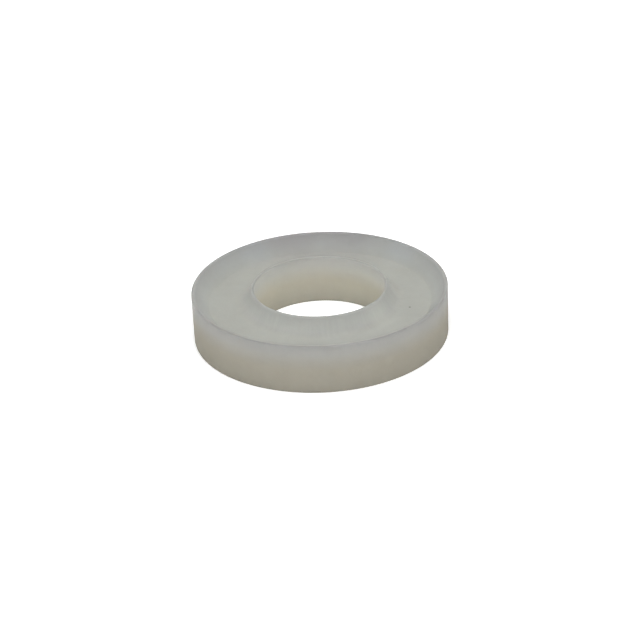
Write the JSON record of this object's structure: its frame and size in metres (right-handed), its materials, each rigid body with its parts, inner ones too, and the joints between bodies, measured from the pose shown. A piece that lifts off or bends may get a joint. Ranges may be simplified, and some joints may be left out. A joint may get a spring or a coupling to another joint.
{
  "type": "flat washer",
  "caption": "Thick round nylon washer: plain bore, one flat face, and a ring channel between a raised rim and a raised bore collar on the other face.",
  "frame": {"origin": "centre of the flat face, on the bore's axis", "axes": "+Z along the bore's axis, from the flat face towards the channelled face"},
  "size_m": [0.0254, 0.0254, 0.005],
  "materials": {
    "natural_nylon": "as-moulded satin, milky white and slightly translucent"
  },
  "bodies": {
    "root": {"washer": "natural_nylon"}
  },
  "joints": []
}
